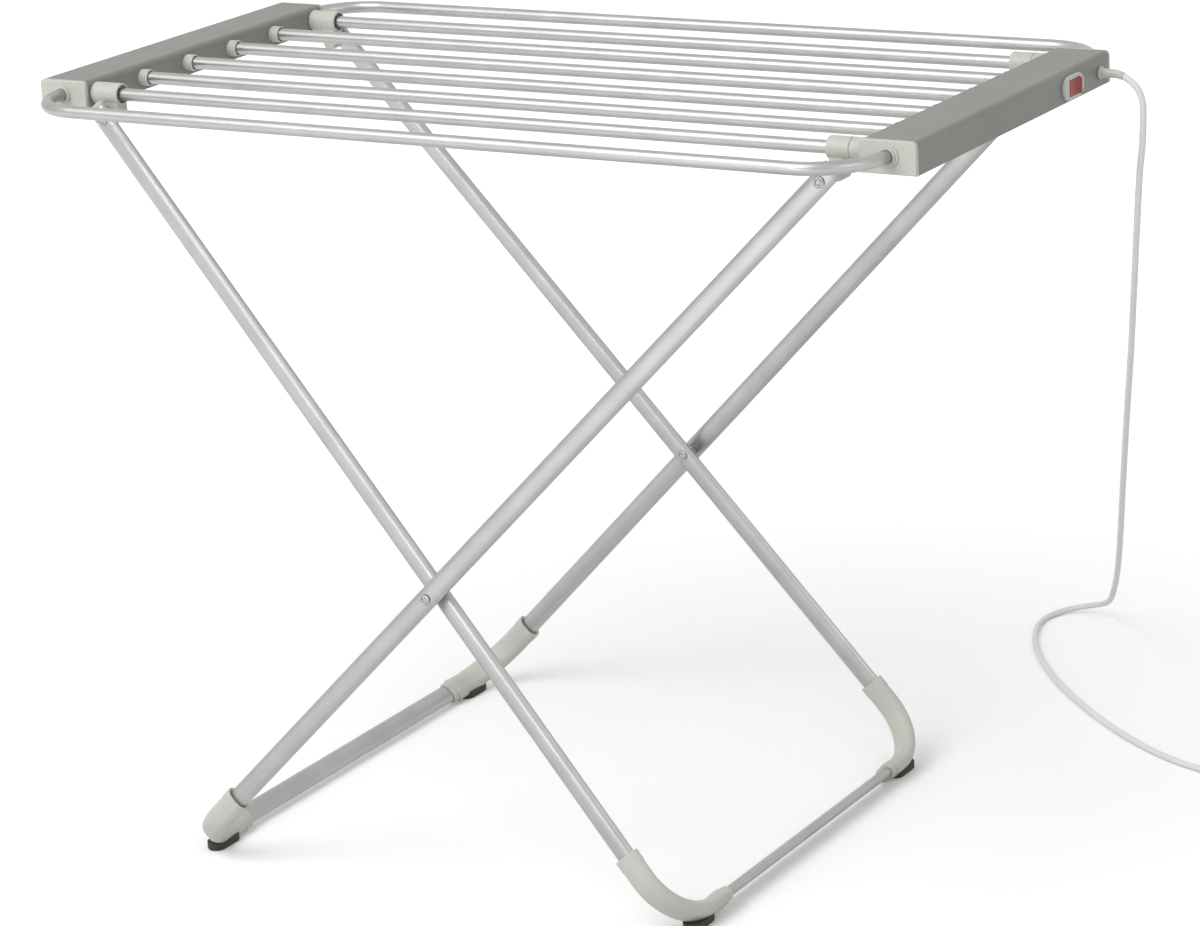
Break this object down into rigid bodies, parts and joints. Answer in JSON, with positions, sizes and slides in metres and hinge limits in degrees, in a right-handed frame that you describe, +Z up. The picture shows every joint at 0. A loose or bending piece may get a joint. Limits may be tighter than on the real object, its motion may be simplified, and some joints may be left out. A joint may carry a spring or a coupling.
{
  "type": "heated clothes airer",
  "caption": "Folding heated clothes airer: warm hollow bars between two rails, bent side bars, crossed tube legs, a rocker switch and a mains cord.",
  "frame": {"origin": "on the floor, under the middle of the standing airer's box, cord left out", "axes": "+X along the bars towards the rail with the switch and the cord, +Y to the back, away from the picture's viewer, +Z up"},
  "size_m": [1.1413, 0.9789, 0.7524],
  "materials": {
    "satin_aluminium": "satin anodised, drawn along the tube",
    "rail_plastic": "fine spark-eroded grain, mid grey",
    "light_grey_plastic": "smooth satin, warm light grey",
    "steel": "zinc plated",
    "black_rubber": "matt",
    "red_plastic": "semi-gloss, translucent red",
    "dark_plastic": "matt",
    "silicone": "matt silicone sheath",
    "cord_plastic": "smooth flexible sheath"
  },
  "bodies": {
    "platform": {"left_rail_cover": "rail_plastic", "left_rail_base": "rail_plastic", "right_rail_cover": "rail_plastic", "right_rail_base": "rail_plastic", "left_front_end_cap": "light_grey_plastic", "left_rear_end_cap": "light_grey_plastic", "right_front_end_cap": "light_grey_plastic", "right_rear_end_cap": "light_grey_plastic", "heated_bar_1": "satin_aluminium", "heated_bar_2": "satin_aluminium", "heated_bar_3": "satin_aluminium", "heated_bar_4": "satin_aluminium", "heated_bar_5": "satin_aluminium", "heated_bar_6": "satin_aluminium", "heating_cable": "silicone", "front_side_bar": "satin_aluminium", "rear_side_bar": "satin_aluminium", "left_bar_holder": "light_grey_plastic", "right_bar_holder": "light_grey_plastic", "front_fixed_collar": "light_grey_plastic", "rear_fixed_collar": "light_grey_plastic", "switch_bezel": "light_grey_plastic", "switch_body": "dark_plastic", "cord_gland": "light_grey_plastic", "mains_cord": "cord_plastic", "cord_coil": "cord_plastic", "plug_body": "cord_plastic", "plug_pins": "steel", "terminal_block": "light_grey_plastic", "left_front_screw": "steel", "left_rear_screw": "steel", "right_front_screw": "steel", "right_rear_screw": "steel"},
    "rocker": {"rocker_button": "red_plastic"},
    "leg_sliders": {"front_slider_collar": "light_grey_plastic", "rear_slider_collar": "light_grey_plastic"},
    "inner_frame": {"inner_leg_front": "satin_aluminium", "inner_leg_rear": "satin_aluminium", "inner_crossbar": "satin_aluminium", "inner_elbow_front": "light_grey_plastic", "inner_elbow_rear": "light_grey_plastic", "inner_leg_plug_front": "light_grey_plastic", "inner_leg_plug_rear": "light_grey_plastic", "inner_pivot_pin_front": "steel", "inner_pivot_pin_rear": "steel", "inner_foot_pad_front": "black_rubber", "inner_foot_pad_rear": "black_rubber", "crossing_rivet_front": "steel", "crossing_rivet_rear": "steel"},
    "outer_frame": {"outer_leg_front": "satin_aluminium", "outer_leg_rear": "satin_aluminium", "outer_crossbar": "satin_aluminium", "outer_elbow_front": "light_grey_plastic", "outer_elbow_rear": "light_grey_plastic", "outer_leg_plug_front": "light_grey_plastic", "outer_leg_plug_rear": "light_grey_plastic", "outer_pivot_pin_front": "steel", "outer_pivot_pin_rear": "steel", "outer_foot_pad_front": "black_rubber", "outer_foot_pad_rear": "black_rubber"}
  },
  "joints": [
    {"name": "leg_slide", "type": "slide", "parent": "platform", "child": "leg_sliders", "axis": [1, 0, 0], "range_m": [0, 0.74423]},
    {"name": "inner_fold", "type": "hinge", "parent": "leg_sliders", "child": "inner_frame", "pos_m": [-0.3947, 0, 0.71794], "axis": [0, 1, 0], "range_deg": [0, 131.11]},
    {"name": "outer_fold", "type": "hinge", "parent": "inner_frame", "child": "outer_frame", "pos_m": [-0.03042, 0, 0.30055], "axis": [0, 1, 0], "range_deg": [-85.84, 0]},
    {"name": "rocker_tilt", "type": "hinge", "parent": "platform", "child": "rocker", "pos_m": [0.46453, 0.112, 0.73594], "axis": [0, 0, 1], "range_deg": [0, 18]}
  ],
  "couplings": [
    {"joint": "inner_fold", "follows": "leg_slide", "rad_per_m": 3.0748},
    {"joint": "outer_fold", "follows": "leg_slide", "rad_per_m": -2.0131}
  ]
}
